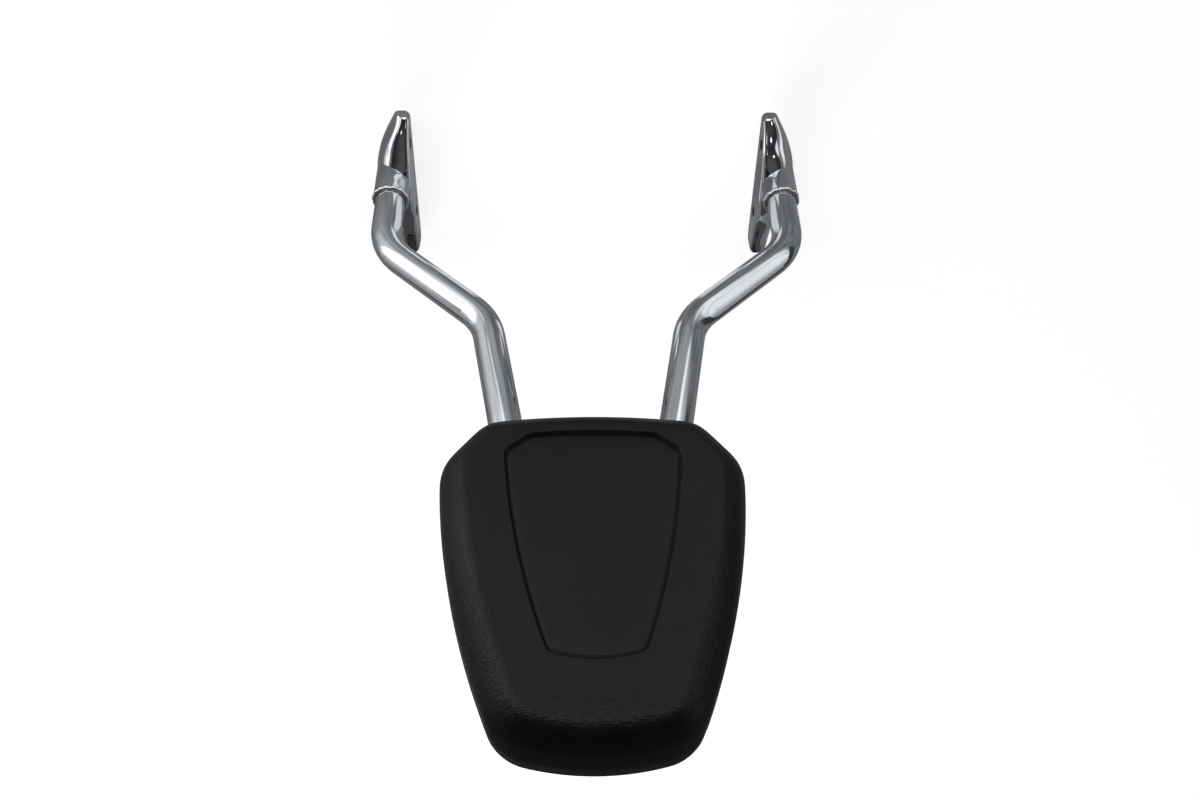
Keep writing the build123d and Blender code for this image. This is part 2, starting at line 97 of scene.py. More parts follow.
camera_data = bpy.data.cameras.new("studio_camera")
camera_data.sensor_width = SENSOR_MM
camera_data.lens = SENSOR_MM * FOCAL_PIXELS / IMAGE_WIDTH
camera = bpy.data.objects.new("studio_camera", camera_data)
bpy.context.scene.collection.objects.link(camera)
camera.matrix_world = (
    Matrix.Translation(CAMERA_TARGET)
    @ Matrix.Rotation(CAMERA_YAW, 4, "Z")
    @ Matrix.Rotation(math.pi / 2 - CAMERA_TILT, 4, "X")
    @ Matrix.Rotation(CAMERA_ROLL, 4, "Z")
    @ Matrix.Translation((0, 0, CAMERA_DISTANCE))
)
bpy.context.scene.camera = camera
print("Camera at", [round(value, 3) for value in camera.matrix_world.translation])


# %% [markdown]
# ## Helpers for node materials
#
# Every finish below is a small node tree. Four short helpers keep them readable: one adds a node and sets
# its sockets, one links sockets, one starts a material with its Principled shader, and one starts a node
# group.

# %% Node helpers
def add_node(tree, kind, settings=(), **sockets):
    """Adds a node, sets its own options, then its sockets by name."""
    node = tree.nodes.new(kind)
    for name, value in dict(settings).items():
        setattr(node, name, value)
    for name, value in sockets.items():
        node.inputs[name.replace("_", " ")].default_value = value
    return node


def link(tree, source, target):
    """Joins an output socket to an input socket."""
    tree.links.new(source, target)


def new_material(name):
    """A material with an empty tree, its Principled shader and its Object coordinates."""
    material = bpy.data.materials.new(name)
    material.use_nodes = True
    tree = material.node_tree
    tree.nodes.clear()
    output = tree.nodes.new("ShaderNodeOutputMaterial")
    shader = tree.nodes.new("ShaderNodeBsdfPrincipled")
    link(tree, shader.outputs["BSDF"], output.inputs["Surface"])
    place = tree.nodes.new("ShaderNodeTexCoord").outputs["Object"]
    return material, tree, shader, place


def new_group(name, inputs, outputs):
    """A shader node group with float or vector inputs and float outputs."""
    group = bpy.data.node_groups.new(name, "ShaderNodeTree")
    for label, kind, value in inputs:
        socket = group.interface.new_socket(label, in_out="INPUT", socket_type=kind)
        if value is not None:
            socket.default_value = value
    for label in outputs:
        group.interface.new_socket(label, in_out="OUTPUT", socket_type="NodeSocketFloat")
    return group, group.nodes.new("NodeGroupInput"), group.nodes.new("NodeGroupOutput")


# %% [markdown]
# ## Moulded grain
#
# Foam skin and black plastic both carry a leather-like grain that the tool leaves on them: flat pebbles
# with creases between them. Several finishes use it, so it is a node group with named inputs. A Voronoi
# texture gives the distance to the nearest cell's edge, and a little noise bends the cells, so that no
# crease is straight.

# %% Moulded grain group
GRAIN_BEND = 2.2 * MM


def make_grain_group():
    """Pebbles divided by creases: their height, and a mask of the creases."""
    group, given, result = new_group(
        "moulded_grain",
        [
            ("Place", "NodeSocketVector", None),
            ("Cells per metre", "NodeSocketFloat", 400.0),
            ("Stretch", "NodeSocketFloat", 1.0),
            ("Crease width", "NodeSocketFloat", 0.12),
        ],
        ["Height", "Creases"],
    )
    bend = add_node(group, "ShaderNodeTexNoise", Scale=160.0, Detail=2.0)
    shift = add_node(group, "ShaderNodeVectorMath", {"operation": "MULTIPLY_ADD"})
    shift.inputs[1].default_value = (GRAIN_BEND,) * 3
    squeeze = add_node(group, "ShaderNodeCombineXYZ", X=1.0, Y=1.0)
    stretched = add_node(group, "ShaderNodeVectorMath", {"operation": "MULTIPLY"})
    cells = add_node(group, "ShaderNodeTexVoronoi", {"feature": "DISTANCE_TO_EDGE"}, Randomness=0.95)
    pebble = add_node(group, "ShaderNodeMapRange", {"interpolation_type": "SMOOTHSTEP"})
    crease = add_node(group, "ShaderNodeMath", {"operation": "SUBTRACT"})
    crease.inputs[0].default_value = 1.0
    link(group, given.outputs["Place"], bend.inputs["Vector"])
    link(group, bend.outputs["Color"], shift.inputs[0])
    link(group, given.outputs["Place"], shift.inputs[2])
    link(group, given.outputs["Stretch"], squeeze.inputs["Z"])
    link(group, shift.outputs["Vector"], stretched.inputs[0])
    link(group, squeeze.outputs["Vector"], stretched.inputs[1])
    link(group, stretched.outputs["Vector"], cells.inputs["Vector"])
    link(group, given.outputs["Cells per metre"], cells.inputs["Scale"])
    link(group, cells.outputs["Distance"], pebble.inputs["Value"])
    link(group, given.outputs["Crease width"], pebble.inputs["From Max"])
    link(group, pebble.outputs["Result"], result.inputs["Height"])
    link(group, pebble.outputs["Result"], crease.inputs[1])
    link(group, crease.outputs["Value"], result.inputs["Creases"])
    return group


grain_group = make_grain_group()
print("Group", grain_group.name, "has", [item.name for item in grain_group.interface.items_tree])


# %% [markdown]
# ## Handling marks
#
# Every smooth surface that is handled carries faint cloudy smears and fine scratches. They hardly show, but
# they keep a reflection from looking computed. The group gives two masks: soft noise for the smears, and
# noise that is drawn out along one axis for the scratches.

# %% Handling marks group
def make_marks_group():
    """Cloudy smears and fine scratches, each from 0 to 1."""
    group, given, result = new_group(
        "handling_marks",
        [
            ("Place", "NodeSocketVector", None),
            ("Cloud scale", "NodeSocketFloat", 30.0),
            ("Scratch scale", "NodeSocketFloat", 900.0),
        ],
        ["Clouds", "Scratches"],
    )
    clouds = add_node(group, "ShaderNodeTexNoise", Detail=5.0, Roughness=0.6)
    cloud_range = add_node(group, "ShaderNodeMapRange", From_Min=0.38, From_Max=0.72)
    along = add_node(group, "ShaderNodeMapping", Scale=(1.0, 1.0, 0.06), Rotation=(0.3, 0.2, 0.0))
    scratch = add_node(group, "ShaderNodeTexNoise", Detail=1.0)
    scratch_range = add_node(group, "ShaderNodeMapRange", From_Min=0.6, From_Max=0.75)
    link(group, given.outputs["Place"], clouds.inputs["Vector"])
    link(group, given.outputs["Cloud scale"], clouds.inputs["Scale"])
    link(group, clouds.outputs["Fac"], cloud_range.inputs["Value"])
    link(group, cloud_range.outputs["Result"], result.inputs["Clouds"])
    link(group, given.outputs["Place"], along.inputs["Vector"])
    link(group, along.outputs["Vector"], scratch.inputs["Vector"])
    link(group, given.outputs["Scratch scale"], scratch.inputs["Scale"])
    link(group, scratch.outputs["Fac"], scratch_range.inputs["Value"])
    link(group, scratch_range.outputs["Result"], result.inputs["Scratches"])
    return group


marks_group = make_marks_group()
print("Group", marks_group.name, "has", [item.name for item in marks_group.interface.items_tree])

# %% [markdown]
# ## Metal finishes
#
# Bright chrome is a mirror, but a slightly dark one: chromium reflects little more than half of the light.
# Faint clouds in its roughness keep the reflections from looking computed. The weld beads get a lighter copy
# of it, more reflective than chromium is, and that extra brightness is a painted highlight. The screws are
# zinc plated, so they are greyer and duller, and the inserts are brass. The feet are castings, polished by
# hand before plating, so their faces wave a little, and broad soft bumps break up what they mirror.

# %% Metals
CHROME = ((0.60, 0.61, 0.63), (0.66, 0.67, 0.69))
# Weld beads: a lighter copy of the chrome, brighter than chromium, which is a painted highlight.
WELD_BRIGHTENED = ((0.76, 0.77, 0.78), (0.90, 0.91, 0.92))
ZINC = ((0.42, 0.42, 0.43), (0.55, 0.55, 0.56))
BRASS = ((0.60, 0.42, 0.16), (0.72, 0.53, 0.24))
WAVES_PER_METRE = 40.0
WAVE_DEPTH = 6.0 * MM


def place_group(tree, group, place, **sockets):
    """Puts a group in a material, fed with its coordinates."""
    node = add_node(tree, "ShaderNodeGroup", {"node_tree": group}, **sockets)
    link(tree, place, node.inputs["Place"])
    return node


def ramp(tree, value, low, high):
    """Spreads a value from 0 to 1 over low to high."""
    spread = add_node(tree, "ShaderNodeMapRange", To_Min=low, To_Max=high)
    link(tree, value, spread.inputs["Value"])
    return spread.outputs["Result"]


def colour_between(tree, mask, low, high):
    """A colour that runs from low to high with a mask."""
    mix = add_node(tree, "ShaderNodeMix", {"data_type": "RGBA"})
    mix.inputs["A"].default_value = (*low, 1.0)
    mix.inputs["B"].default_value = (*high, 1.0)
    link(tree, mask, mix.inputs["Factor"])
    return mix.outputs["Result"]


def metal(name, colours, roughness, cloud_scale, scratch_depth, wave_depth=0.0):
    """A metal whose colour and roughness drift with handling marks, and whose faces may wave."""
    material, tree, shader, place = new_material(name)
    shader.inputs["Metallic"].default_value = 1.0
    marks = place_group(tree, marks_group, place, Cloud_scale=cloud_scale)
    link(tree, colour_between(tree, marks.outputs["Clouds"], *colours), shader.inputs["Base Color"])
    link(tree, ramp(tree, marks.outputs["Clouds"], *roughness), shader.inputs["Roughness"])
    bump = add_node(tree, "ShaderNodeBump", Strength=0.2, Distance=scratch_depth)
    link(tree, marks.outputs["Scratches"], bump.inputs["Height"])
    waves = add_node(tree, "ShaderNodeTexNoise", Scale=WAVES_PER_METRE, Detail=0.0)
    wave_bump = add_node(tree, "ShaderNodeBump", Strength=1.0, Distance=wave_depth)
    link(tree, place, waves.inputs["Vector"])
    link(tree, waves.outputs["Fac"], wave_bump.inputs["Height"])
    link(tree, bump.outputs["Normal"], wave_bump.inputs["Normal"])
    link(tree, wave_bump.outputs["Normal"], shader.inputs["Normal"])
    return material


bright_chrome = metal("bright_chrome", CHROME, (0.05, 0.09), 28.0, 0.01 * MM)
cast_chrome = metal("cast_chrome", CHROME, (0.05, 0.09), 28.0, 0.01 * MM, WAVE_DEPTH)
# The weld beads' extra brightness is a painted highlight.
brightened_weld_chrome = metal("brightened_weld_chrome", WELD_BRIGHTENED, (0.24, 0.36), 90.0, 0.05 * MM)
zinc_steel = metal("zinc_steel", ZINC, (0.28, 0.42), 120.0, 0.02 * MM)
insert_brass = metal("insert_brass", BRASS, (0.25, 0.38), 150.0, 0.02 * MM)

METAL_NODES = {
    "hoop_tube": bright_chrome,
    "left_bracket": cast_chrome,
    "right_bracket": cast_chrome,
    "lower_pad_plate": bright_chrome,
    "upper_pad_plate": bright_chrome,
    "plate_welds": brightened_weld_chrome,
    "pad_screws": zinc_steel,
    "pad_washers": zinc_steel,
    "cover_screws": zinc_steel,
    "threaded_inserts": insert_brass,
}


def finish_node(node, material):
    """Gives a CAD node its finish."""
    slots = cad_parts[node].data.materials
    slots.clear()
    slots.append(material)


for node_name, node_material in METAL_NODES.items():
    finish_node(node_name, node_material)
print("Metal on", len(METAL_NODES), "nodes")

# %% [markdown]
# ## Black plastics
#
# The cover behind the pad and the pan inside it are moulded in black plastic. The cover has a fine tool
# grain, so that it goes with the foam's skin; the pan, which nobody sees, is left plain and matt.

# %% Plastics
COVER_BLACK = ((0.026, 0.026, 0.028), (0.034, 0.034, 0.036))
PAN_BLACK = ((0.02, 0.02, 0.021), (0.03, 0.03, 0.031))


def black_plastic(name, colours, roughness, grain_depth):
    """A matt moulded plastic with fine pebbles."""
    material, tree, shader, place = new_material(name)
    grain = place_group(tree, grain_group, place, Cells_per_metre=900.0, Crease_width=0.2)
    marks = place_group(tree, marks_group, place, Cloud_scale=25.0)
    link(tree, colour_between(tree, marks.outputs["Clouds"], *colours), shader.inputs["Base Color"])
    link(tree, ramp(tree, grain.outputs["Creases"], *roughness), shader.inputs["Roughness"])
    bump = add_node(tree, "ShaderNodeBump", Strength=0.5, Distance=grain_depth)
    link(tree, grain.outputs["Height"], bump.inputs["Height"])
    link(tree, bump.outputs["Normal"], shader.inputs["Normal"])
    return material


cover_plastic = black_plastic("cover_plastic", COVER_BLACK, (0.45, 0.6), 0.06 * MM)
pan_plastic = black_plastic("pan_plastic", PAN_BLACK, (0.55, 0.7), 0.03 * MM)
finish_node("rear_cover", cover_plastic)
finish_node("pad_base", pan_plastic)
print("Plastics:", cover_plastic.name, pan_plastic.name)


# %% [markdown]
# ## Foam skin
#
# The pad is skinned foam: the skin copies the tool's leather grain. It is pebbled along the flanks, it runs
# in long wrinkles across the upper end, and it hardly shows on the panel. Two vertex attributes on the pad,
# pebble_depth and wrinkle_depth, say how deep each grain is at a place, so that one material does the whole
# pad.

# %% Foam skin
SKIN_BLACK = ((0.0036, 0.0036, 0.0038), (0.005, 0.005, 0.0053))
SKIN_SPECULAR = 0.2
SKIN_TINT = (1.0, 0.97, 1.03, 1.0)
SKIN_ROUGH = (0.34, 0.44)
FINE_SHARE = 0.1
GRAIN_DEEP = 0.2 * MM


def calc(tree, operation, *values):
    """A Math node fed with numbers or sockets."""
    node = add_node(tree, "ShaderNodeMath", {"operation": operation})
    for socket, value in zip(node.inputs, values):
        if isinstance(value, float):
            socket.default_value = value
        else:
            link(tree, value, socket)
    return node.outputs["Value"]


def foam_skin():
    """Black skin with leather grain, finer pores and a soft sheen."""
    material, tree, shader, place = new_material("foam_skin")
    coarse = place_group(tree, grain_group, place, Cells_per_metre=400.0, Stretch=1.2, Crease_width=0.35)
    wrinkles = place_group(tree, grain_group, place, Cells_per_metre=180.0, Stretch=3.4, Crease_width=0.45)
    fine = place_group(tree, grain_group, place, Cells_per_metre=980.0, Crease_width=0.3)
    marks = place_group(tree, marks_group, place, Cloud_scale=22.0)
    pebble_depth = add_node(tree, "ShaderNodeAttribute", {"attribute_name": "pebble_depth"})
    wrinkle_depth = add_node(tree, "ShaderNodeAttribute", {"attribute_name": "wrinkle_depth"})
    link(tree, colour_between(tree, marks.outputs["Clouds"], *SKIN_BLACK), shader.inputs["Base Color"])
    pebbles = calc(tree, "MULTIPLY", coarse.outputs["Height"], pebble_depth.outputs["Fac"])
    both = calc(tree, "MULTIPLY_ADD", wrinkles.outputs["Height"], wrinkle_depth.outputs["Fac"], pebbles)
    height = calc(tree, "MULTIPLY_ADD", fine.outputs["Height"], FINE_SHARE, both)
    bump = add_node(tree, "ShaderNodeBump", Strength=0.8, Distance=GRAIN_DEEP)
    link(tree, height, bump.inputs["Height"])
    link(tree, bump.outputs["Normal"], shader.inputs["Normal"])
    link(tree, ramp(tree, coarse.outputs["Creases"], *SKIN_ROUGH), shader.inputs["Roughness"])
    shader.inputs["Specular IOR Level"].default_value = SKIN_SPECULAR
    shader.inputs["Specular Tint"].default_value = SKIN_TINT
    return material


skin = foam_skin()
print("Skin material:", skin.name)


# %% [markdown]
# ## The pad's outlines
#
# The pad has to keep the CAD cushion's size, so its outlines are read from the CAD mesh: a copy is tipped
# flat and cut with a plane, which leaves bare edges where the plane went through. Cutting once more down
# the middle leaves half an outline, from the top to the bottom, and mirroring its points makes the pad
# exactly symmetrical. Cuts through the side, just under the front and through the panel's wall give the
# three outlines.

# %% Outlines from the CAD cushion
STATIONS = 240
FLANK_CUT = 13.0 * MM
PAD_FRONT = 42.0 * MM
FRONT_CUT = 0.05 * MM
PANEL_DEPTH = 2.0 * MM
MERGE = 0.01 * MM


def node_copy(node):
    """A merged copy of a CAD node's mesh, tipped into the pad's plane."""
    bm = bmesh.new()
    bm.from_mesh(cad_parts[node].data)
    bmesh.ops.transform(bm, matrix=pad_plane.inverted(), verts=bm.verts)
    bmesh.ops.remove_doubles(bm, verts=bm.verts, dist=MERGE)
    return bm


def half_outlines(node, level):
    """Half outlines of a node where a level cuts it, each from top to bottom, the highest first."""
    bm = node_copy(node)
    for point, normal, both in (((0, 0, level), (0, 0, 1), True), ((0, 0, 0), (1, 0, 0), False)):
        everything = bm.verts[:] + bm.edges[:] + bm.faces[:]
        bmesh.ops.bisect_plane(
            bm, geom=everything, plane_co=point, plane_no=normal,
            dist=MERGE / 10, clear_inner=True, clear_outer=both,
        )
    bmesh.ops.remove_doubles(bm, verts=bm.verts, dist=MERGE)
    starts = [vert for vert in bm.verts if len(vert.link_edges) == 1]
    starts.sort(key=lambda vert: -vert.co.y)
    outlines = []
    for start in starts[: len(starts) // 2]:
        chain, edge = [start], None
        while ahead := [other for other in chain[-1].link_edges if other is not edge]:
            edge = ahead[0]
            chain.append(edge.other_vert(chain[-1]))
        outlines.append([Vector((vert.co.x, vert.co.y)) for vert in chain])
    bm.free()
    return outlines


def even_points(points, count):
    """Points spaced evenly along a line of points, ends included."""
    lengths = [0.0]
    for before, after in zip(points, points[1:]):
        lengths.append(lengths[-1] + (after - before).length)
    result, leg = [], 0
    for step in range(count):
        wanted = lengths[-1] * step / (count - 1)
        while leg < len(points) - 2 and lengths[leg + 1] < wanted:
            leg += 1
        share = (wanted - lengths[leg]) / (lengths[leg + 1] - lengths[leg])
        result.append(points[leg].lerp(points[leg + 1], share))
    return result


def smoothed(points, rounds):
    """Takes the facets out of a closed line of points."""
    for _ in range(rounds):
        points = [
            (points[index - 1] + points[index] * 2 + points[(index + 1) % len(points)]) / 4
            for index in range(len(points))
        ]
    return points


def whole_outline(half, rounds):
    """Closed outline of evenly spaced stations, from half of it."""
    left = even_points(half, STATIONS // 2 + 1)
    right = [Vector((-point.x, point.y)) for point in reversed(left[1:-1])]
    return smoothed(left + right, rounds)


def inward_normals(points):
    """Unit normals of a closed outline, pointing in."""
    normals = []
    for index in range(len(points)):
        along = points[(index + 1) % len(points)] - points[index - 1]
        normals.append(Vector((along.y, -along.x)).normalized())
    return normals


rim_half = half_outlines("pad_cushion", FLANK_CUT)[0]
front_half = half_outlines("pad_cushion", PAD_FRONT - FRONT_CUT)[0]
panel_half = half_outlines("pad_cushion", PAD_FRONT - PANEL_DEPTH / 2)[1]
rim = whole_outline(rim_half, 3)
front = whole_outline(front_half, 1)
panel = whole_outline(panel_half, 1)
rim_inward = inward_normals(rim)
panel_inward = inward_normals(panel)
print("Points on the rim", len(rim_half), "front", len(front_half), "panel", len(panel_half))
print("Stations on each whole outline:", STATIONS)


# %% [markdown]
# ## The pad's profile
#
# Cut across its edge, the pad is a straight side, a rounded flank that leans in to a crest, and a flat
# front. At the upper end the flank is steeper than at the sides. So each station along the outline gets a
# profile of its own: the flank's arc, squeezed to the distance that the CAD solid steps in there, and a
# round crest between it and the front. Where that crest begins has no tidy formula, so it is found by
# halving an angle until it fits.

# %% Pad profile
SEAM = 0.3 * MM
POCKET_INSET = 13.7 * MM
POCKET_ROOF = 18.4 * MM
LIP_R = 1.4 * MM
FLANK_R = 32.0 * MM
FLANK_START = math.radians(30.0)
FLANK_STEPS = 14
FLANK_STEP_IN = FLANK_R * (1 - math.sin(FLANK_START))
CREST_R = 9.0 * MM
CREST_STEPS = 8
RAY = 60.0 * MM

flank_root = PAD_FRONT - FLANK_R * math.cos(FLANK_START)


def step_in(point, inward):
    """How far the front's outline lies from a point of the rim, straight in."""
    ends = zip(front, front[1:] + front[:1])
    hits = [intersect_line_line_2d(point, point + inward * RAY, before, after) for before, after in ends]
    return min((hit - point).length for hit in hits if hit)


def flank_point(squeeze, angle):
    """Place and outward normal on the flank's arc, as (inset, level)."""
    point = Vector((squeeze * FLANK_R * (1 - math.cos(angle)), flank_root + FLANK_R * math.sin(angle)))
    return point, Vector((-math.cos(angle), squeeze * math.sin(angle))).normalized()


def crest_start(squeeze):
    """Angle on the flank where a crest that touches the front also touches the flank."""
    low, high = 0.0, math.pi / 2 - FLANK_START
    for _ in range(30):
        angle = (low + high) / 2
        point, normal = flank_point(squeeze, angle)
        if point.y - CREST_R * normal.y < PAD_FRONT - CREST_R:
            low = angle
        else:
            high = angle
    return angle


def side_profile(squeeze):
    """From the pocket's roof round the lip, up the flank and over the crest, as (inset, level)."""
    points = [(POCKET_INSET + LIP_R, POCKET_ROOF), (POCKET_INSET, POCKET_ROOF), (POCKET_INSET, SEAM)]
    for step in range(5):
        angle = math.pi / 8 * step
        points.append((LIP_R * (1 - math.sin(angle)), SEAM + LIP_R * (1 - math.cos(angle))))
    points.append((0.0, (SEAM + flank_root) / 2))
    last = crest_start(squeeze)
    points += [tuple(flank_point(squeeze, last * step / FLANK_STEPS)[0]) for step in range(FLANK_STEPS + 1)]
    point, normal = flank_point(squeeze, last)
    centre = point - normal * CREST_R
    slope = math.atan2(normal.y, -normal.x)
    for step in range(1, CREST_STEPS + 1):
        angle = slope + (math.pi / 2 - slope) * step / CREST_STEPS
        points.append((centre.x - CREST_R * math.cos(angle), centre.y + CREST_R * math.sin(angle)))
    return points


squeezes = [step_in(point, inward) / FLANK_STEP_IN for point, inward in zip(rim, rim_inward)]
profiles = [side_profile(squeeze) for squeeze in smoothed(squeezes, 4)]
SIDE_RINGS = len(profiles[0])
print("Flank steps in", round(squeezes[0] * FLANK_STEP_IN / MM, 1), "mm at the upper end and at most",
      round(max(squeezes) * FLANK_STEP_IN / MM, 1), "mm; rings up to the front:", SIDE_RINGS)

# %% [markdown]
# ## The panel's wall
#
# The panel on the front is a shallow recess. Its wall leans, it turns out of the front by a small rounding,
# and it ends in a crease a little deeper than the panel's floor. Foam is drawn into such a crease as it
# cures, and the crease is what draws the thin dark line round the panel.

# %% Panel profile
PANEL_SLOPE = math.radians(35.0)
MOUTH_R = 1.0 * MM
MOUTH_STEPS = 5
CREASE_DEEP = 0.6 * MM
CREASE_RISE = ((0.25, 1.0), (0.6, 0.62), (1.0, 0.22), (1.5, 0.0))


def panel_profile():
    """From the front down the panel's wall to its floor, as (inset from the middle of the wall, level)."""
    half_run = PANEL_DEPTH / 2 * math.tan(PANEL_SLOPE)
    steep = math.pi / 2 - PANEL_SLOPE
    reach = MOUTH_R * math.tan(steep / 2)
    points = []
    for step in range(MOUTH_STEPS + 1):
        angle = steep * step / MOUTH_STEPS
        inset = -half_run - reach + MOUTH_R * math.sin(angle)
        points.append((inset, PAD_FRONT - MOUTH_R * (1 - math.cos(angle))))
    floor_level = PAD_FRONT - PANEL_DEPTH
    foot = half_run + CREASE_DEEP * math.tan(PANEL_SLOPE)
    points.append((foot, floor_level - CREASE_DEEP))
    return points + [(foot + run * MM, floor_level - share * CREASE_DEEP) for run, share in CREASE_RISE]


panel_wall = panel_profile()
print("Rings down the panel's wall:", len(panel_wall))


# %% [markdown]
# ## Shaping the pad
#
# One circle becomes the whole pad. Its vertices go onto the outline, and then it is extruded ring by ring,
# as a potter pulls up a wall: out of the hollow for the pan, under the lip, up the side, over the crest,
# across the front, down the panel's wall and in to the middle. Each vertex carries its station number in a
# layer that extrusion copies, so every new ring knows where each of its vertices belongs. Two more layers,
# pebble_depth and wrinkle_depth, say how deep the skin's grain is there: deep on the flanks and the upper
# end, faint on the panel.

# %% Pad mesh
FRONT_RINGS = 12
PANEL_RINGS = 9
FRONT_CROWN = 1.0 * MM
FLANK_PEBBLES = (0.3, 1.35)
FACE_PEBBLES = 0.3
PANEL_PEBBLES = 0.2
FACE_WRINKLES = 1.45
END_WRINKLES = 1.2
GRAIN_FADE = 22.0 * MM
PEBBLES_LOST = 0.8


def crown(x, h):
    """How far the front swells at a place, nothing at its edge."""
    middle_h = (rim[0].y + rim[STATIONS // 2].y) / 2
    half_tall = (rim[0].y - rim[STATIONS // 2].y) / 2
    half_wide = max(point.x for point in rim)
    across = max(0.0, 1 - (x / half_wide) ** 2)
    along = max(0.0, 1 - ((h - middle_h) / half_tall) ** 2)
    return FRONT_CROWN * across * along


def share_of(value, start, end):
    """How far a value has come from start to end, from 0 to 1."""
    return min(1.0, max(0.0, (value - start) / (end - start)))


def face_grain(place):
    """Depths of pebbles and wrinkles on the front, where wrinkles begin past the panel's upper edge."""
    past = share_of(place.y, panel[0].y, panel[0].y + GRAIN_FADE)
    return FACE_PEBBLES, FACE_WRINKLES * past


def side_grain(place):
    """Depths on the flanks: pebbles that deepen upwards, then wrinkles over the upper end's crest."""
    low, high = rim[STATIONS // 2].y, panel[0].y
    up = share_of(place.y, low, high) ** 2
    over = share_of(place.y, high, high + GRAIN_FADE)
    crest = share_of(place.z, flank_root, PAD_FRONT)
    pebbles = FLANK_PEBBLES[0] + (FLANK_PEBBLES[1] - FLANK_PEBBLES[0]) * up
    return pebbles * (1 - PEBBLES_LOST * over), END_WRINKLES * over * crest


def panel_grain(place):
    """Depths on the panel, the same all over it."""
    return PANEL_PEBBLES, 0.0


def on_side(ring):
    """A function from a station to its place on a ring of the side."""

    def place(index):
        inset, level = profiles[index][ring]
        return (rim[index] + rim_inward[index] * inset).to_3d() + Vector((0, 0, level))

    return place


def on_panel(inset, level):
    """A function from a station to its place at an inset from the panel's outline."""
    return lambda index: (panel[index] + panel_inward[index] * inset).to_3d() + Vector((0, 0, level))


def between(outer, inner, share):
    """A function from a station to its place part of the way from one ring to another."""
    return lambda index: outer(index).lerp(inner(index), share)


def pull_ring(edges, layers, place, depth):
    """Extrudes a closed row of edges and puts each new vertex where its station says."""
    bm, station, pebbles, wrinkles = layers
    made = bmesh.ops.extrude_edge_only(bm, edges=edges)["geom"]
    verts = {item for item in made if isinstance(item, bmesh.types.BMVert)}
    for vert in verts:
        vert.co = place(vert[station])
        vert[pebbles], vert[wrinkles] = depth(vert.co)
    return [item for item in made if isinstance(item, bmesh.types.BMEdge) and verts.issuperset(item.verts)]


def model_pad():
    """The pad as one closed skin, pulled up ring by ring and then tipped into the bar's plane."""
    bm = bmesh.new()
    station = bm.verts.layers.int.new("station")
    pebbles = bm.verts.layers.float.new("pebble_depth")
    wrinkles = bm.verts.layers.float.new("wrinkle_depth")
    layers = (bm, station, pebbles, wrinkles)
    circle = bmesh.ops.create_circle(bm, cap_ends=False, segments=STATIONS, radius=1.0)["verts"]
    circle.sort(key=lambda vert: -math.atan2(vert.co.x, -vert.co.y) % (2 * math.pi))
    first = on_side(0)
    for index, vert in enumerate(circle):
        vert[station] = index
        vert.co = first(index)
    edges = bm.edges[:]
    bmesh.ops.edgeloop_fill(bm, edges=edges)
    for ring in range(1, SIDE_RINGS):
        edges = pull_ring(edges, layers, on_side(ring), side_grain)
    for ring in range(1, FRONT_RINGS + 1):
        strip = between(on_side(SIDE_RINGS - 1), on_panel(*panel_wall[0]), ring / FRONT_RINGS)
        edges = pull_ring(edges, layers, strip, face_grain)
    for inset, level in panel_wall[1:]:
        edges = pull_ring(edges, layers, on_panel(inset, level), panel_grain)
    panel_floor = on_panel(*panel_wall[-1])
    middle = sum((panel_floor(index) for index in range(STATIONS)), Vector()) / STATIONS
    for ring in range(1, PANEL_RINGS + 1):
        disc = between(panel_floor, lambda index: middle, ring / (PANEL_RINGS + 0.3))
        edges = pull_ring(edges, layers, disc, panel_grain)
    bmesh.ops.edgeloop_fill(bm, edges=edges)
    for vert in bm.verts:
        if vert.co.z > flank_root:
            vert.co.z += crown(vert.co.x, vert.co.y)
    bm.verts.layers.int.remove(station)
    bmesh.ops.transform(bm, matrix=pad_plane, verts=bm.verts)
    bmesh.ops.recalc_face_normals(bm, faces=bm.faces)
    return bm


def new_piece(name, bm, material):
    """Turns a bmesh into a smooth-shaded object at the origin."""
    mesh = bpy.data.meshes.new(name)
    bm.to_mesh(mesh)
    bm.free()
    mesh.polygons.foreach_set("use_smooth", [True] * len(mesh.polygons))
    mesh.materials.append(material)
    piece = bpy.data.objects.new(name, mesh)
    bpy.context.scene.collection.objects.link(piece)
    return piece


pad = new_piece("foam_pad", model_pad(), skin)
print("Pad mesh:", len(pad.data.vertices), "vertices,", len(pad.data.polygons), "faces")

# %% [markdown]
# ## Room for the legs and the columns
#
# The tube's legs enter the pad at its lower end, and three columns of the pan stand up into the foam. Each
# needs a round room, and a Boolean modifier cuts round rooms cleanly. The legs' axes are read from the CAD
# tube: the middle of a thin cut across a leg is a point on its axis. The columns stand over the threaded
# inserts, one on each. The modifier is applied, so that the finished mesh is all there is.

# %% Rooms in the pad
LEG_ROOM_R = 11.7 * MM
LEG_ROOM_LONG = 90.0 * MM
COLUMN_ROOM_R = 7.8 * MM
COLUMN_ROOM_END = 29.4 * MM
ROOM_SIDES = 72
CREASE_ANGLE = math.radians(40.0)


def leg_middle(h, side):
    """Point on a leg's axis, from a cut across the tube."""
    bm = node_copy("hoop_tube")
    everything = bm.verts[:] + bm.edges[:] + bm.faces[:]
    bmesh.ops.bisect_plane(
        bm, geom=everything, plane_co=(0, h, 0), plane_no=(0, 1, 0), clear_inner=True, clear_outer=True
    )
    points = [vert.co.copy() for vert in bm.verts if vert.co.x * side > 0]
    bm.free()
    low = Vector(min(point[axis] for point in points) for axis in range(3))
    high = Vector(max(point[axis] for point in points) for axis in range(3))
    return (low + high) / 2


